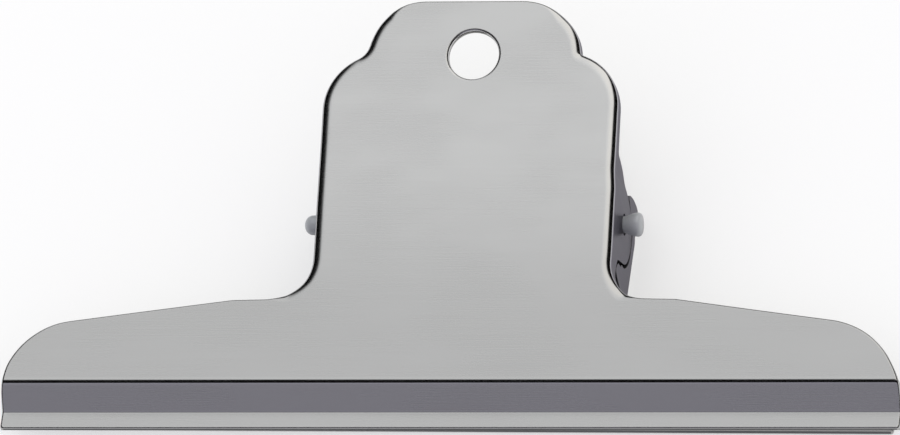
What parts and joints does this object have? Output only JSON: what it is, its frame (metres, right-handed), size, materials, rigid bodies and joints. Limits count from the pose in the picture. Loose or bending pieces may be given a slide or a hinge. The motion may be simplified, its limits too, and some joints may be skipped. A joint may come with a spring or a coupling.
{
  "type": "letter clip",
  "caption": "Wide spring clip of pressed sheet steel: a long straight jaw, ribbed along its lip, with short folded thumb handles and a hanging hole.",
  "frame": {"origin": "on the back face of the rear plate, straight under the axis of the pin", "axes": "+X along the jaw and the pin, +Y towards the thumb handles, +Z from the rear plate to the front plate"},
  "size_m": [0.1292, 0.0645, 0.0263],
  "materials": {
    "plate": "nickel plated, fine satin grain along the jaw",
    "pin": "nickel plated, worn smooth",
    "spring_wire": "drawn spring wire, dull"
  },
  "bodies": {
    "rear_half": {"rear_plate": "plate", "pivot_pin": "pin", "spring": "spring_wire"},
    "front_half": {"front_plate": "plate"}
  },
  "joints": [
    {"name": "jaw_hinge", "type": "hinge", "parent": "rear_half", "child": "front_half", "pos_m": [0, 0, 0.0084], "axis": [-1, 0, 0], "range_deg": [0, 34], "stiffness_Nm_per_rad": 0.25, "springref_deg": -34.38, "deforming": ["spring"]}
  ]
}
